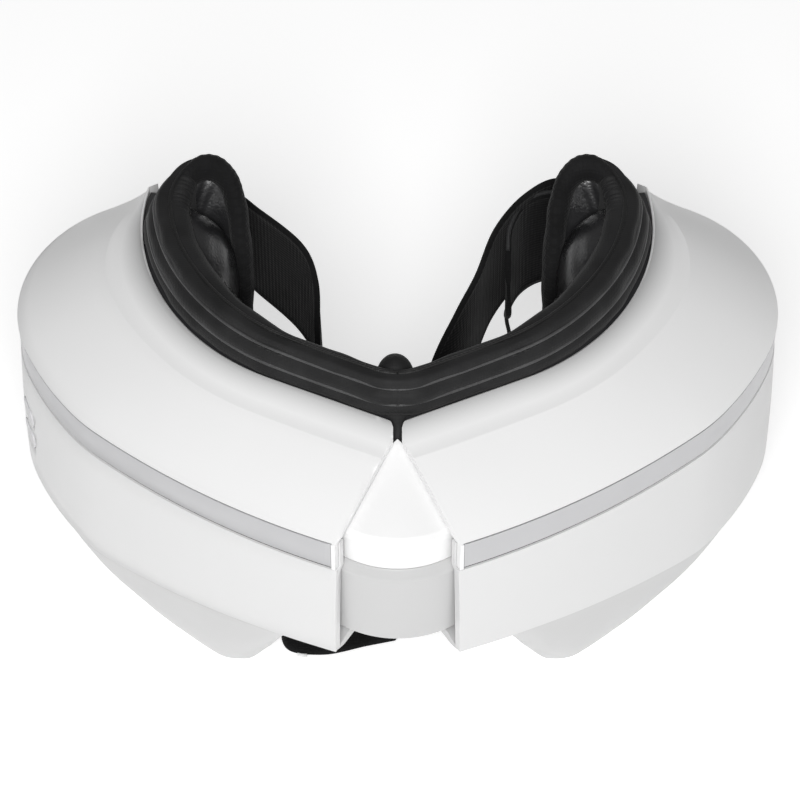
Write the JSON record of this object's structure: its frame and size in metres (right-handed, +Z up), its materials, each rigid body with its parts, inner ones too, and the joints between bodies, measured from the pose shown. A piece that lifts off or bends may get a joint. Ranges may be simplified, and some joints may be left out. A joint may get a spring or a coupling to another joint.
{
  "type": "eye massager mask",
  "caption": "Foldable padded eye massager mask: two curved white shells on a hinged bridge, black face cushions, heated air massage and an elastic head strap.",
  "frame": {"origin": "centre of the bounding box at the surface that the two cheek lobes stand on", "axes": "+Z up, +X the wearer's left across the mask, +Y towards the wearer's head"},
  "size_m": [0.1982, 0.1208, 0.1067],
  "materials": {
    "white_gloss": "glossy moulded ABS",
    "white_satin": "satin moulded ABS",
    "silver_trim": "fine satin silver",
    "inner_plastic": "matte black nylon",
    "steel": "brushed",
    "brass": "turned",
    "cushion_fabric": "padded black knit",
    "leather": "soft glossy black leatherette",
    "strap_elastic": "woven elastic",
    "silicone": "soft silicone",
    "cable_film": "polyimide film",
    "battery_wrap": "shrink wrap",
    "circuit_board": "solder mask",
    "socket_metal": "plated",
    "button_grey": "satin",
    "light_lens": "frosted"
  },
  "bodies": {
    "bridge": {"bridge_cap": "white_gloss", "bridge_body": "white_gloss", "bridge_bracket": "steel", "bridge_screws": "steel", "hinge_pin": "steel", "flex_cable": "cable_film", "air_hose": "silicone"},
    "left_half": {"left_battery": "battery_wrap", "left_case_screws": "steel", "left_charge_socket": "socket_metal", "left_cheek_housing": "white_satin", "left_end_cap": "white_satin", "left_eye_pad": "silicone", "left_face_cushion": "cushion_fabric", "left_face_frame": "inner_plastic", "left_front_shell": "white_gloss", "left_heater_film": "cable_film", "left_hinge_bracket": "steel", "left_motor": "steel", "left_motor_weight": "brass", "left_speaker": "inner_plastic", "left_status_light": "light_lens", "left_strap": "strap_elastic", "left_strap_clamp": "inner_plastic", "left_switch_board": "circuit_board", "left_temple_airbag": "leather", "left_top_cover": "white_gloss", "left_trim_strip": "silver_trim"},
    "right_half": {"right_air_pump": "inner_plastic", "right_air_valve": "inner_plastic", "right_case_screws": "steel", "right_cheek_housing": "white_satin", "right_control_board": "circuit_board", "right_end_cap": "white_satin", "right_eye_pad": "silicone", "right_face_cushion": "cushion_fabric", "right_face_frame": "inner_plastic", "right_front_shell": "white_gloss", "right_heater_film": "cable_film", "right_hinge_bracket": "steel", "right_motor": "steel", "right_motor_weight": "brass", "right_speaker": "inner_plastic", "right_strap": "strap_elastic", "right_strap_clamp": "inner_plastic", "right_temple_airbag": "leather", "right_top_cover": "white_gloss", "right_trim_strip": "silver_trim"},
    "power_key": {"left_power_button": "button_grey"},
    "mode_key": {"left_mode_button": "button_grey"}
  },
  "joints": [
    {"name": "left_fold", "type": "hinge", "parent": "bridge", "child": "left_half", "pos_m": [0, -0.03455, 0.062], "axis": [0, 0, 1], "range_deg": [-24, 28], "deforming": ["left_strap"]},
    {"name": "right_fold", "type": "hinge", "parent": "bridge", "child": "right_half", "pos_m": [0, -0.03455, 0.062], "axis": [0, 0, -1], "range_deg": [-24, 28], "deforming": ["right_strap"]},
    {"name": "power_press", "type": "slide", "parent": "left_half", "child": "power_key", "axis": [0.9476, 0.3196, 0], "range_m": [0, 0.0008], "stiffness_N_per_m": 400, "springref_m": -0.0008},
    {"name": "mode_press", "type": "slide", "parent": "left_half", "child": "mode_key", "axis": [0.9476, 0.3196, 0], "range_m": [0, 0.0008], "stiffness_N_per_m": 400, "springref_m": -0.0008}
  ]
}
